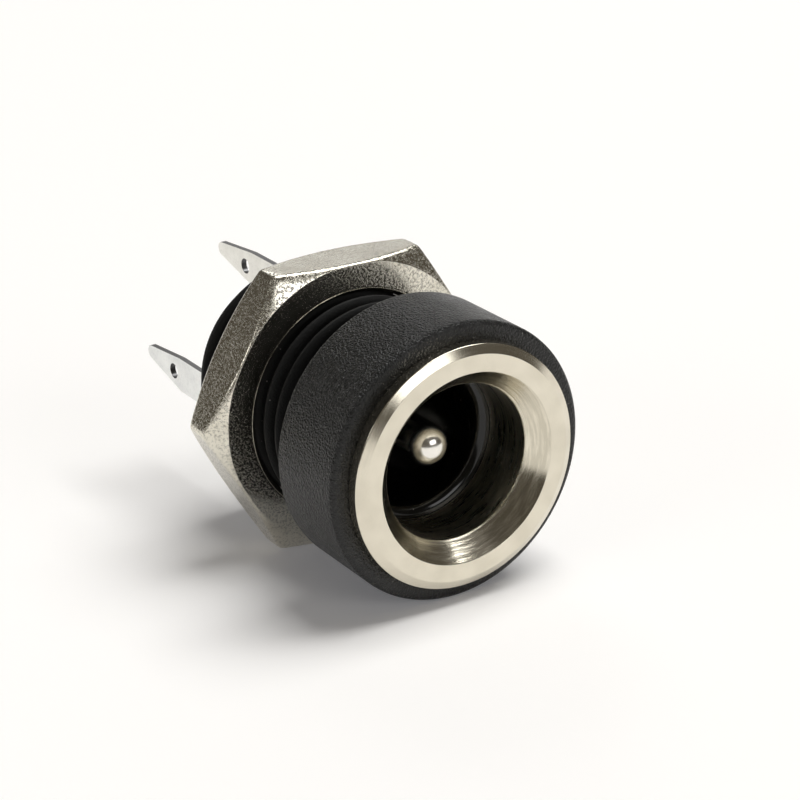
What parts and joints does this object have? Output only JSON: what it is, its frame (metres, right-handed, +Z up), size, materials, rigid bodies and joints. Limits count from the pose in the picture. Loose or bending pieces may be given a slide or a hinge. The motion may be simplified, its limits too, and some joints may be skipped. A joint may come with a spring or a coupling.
{
  "type": "panel-mount dc barrel jack",
  "caption": "Threaded panel-mount dc power socket with a metal front bush, a centre pin, a hexagon nut and rear solder tags.",
  "frame": {"origin": "on the jack's axis, in the plane of the head's rear face, where the panel seats", "axes": "+Y runs along the axis from the head to the solder tags, so the socket opens to -Y; +Z is up, with a flat of the nut above and below"},
  "size_m": [0.0162, 0.0241, 0.014],
  "materials": {
    "housing": "matte black moulding",
    "bush": "turned, nickel plated",
    "pin": "turned, nickel plated",
    "base": "matte black insulation",
    "tags": "stamped, tin plated",
    "spring": "stamped spring bronze, plated",
    "nut": "nickel plated"
  },
  "bodies": {
    "jack": {"housing": "housing", "front_bush": "bush", "centre_pin": "pin", "rear_base": "base", "pin_tag": "tags", "sleeve_contact": "spring", "switch_contact": "tags"},
    "nut": {"hex_nut": "nut"}
  },
  "joints": [
    {"name": "nut_travel", "type": "slide", "parent": "jack", "child": "nut", "axis": [0, 1, 0], "range_m": [-0.00395, 0.0038]}
  ]
}
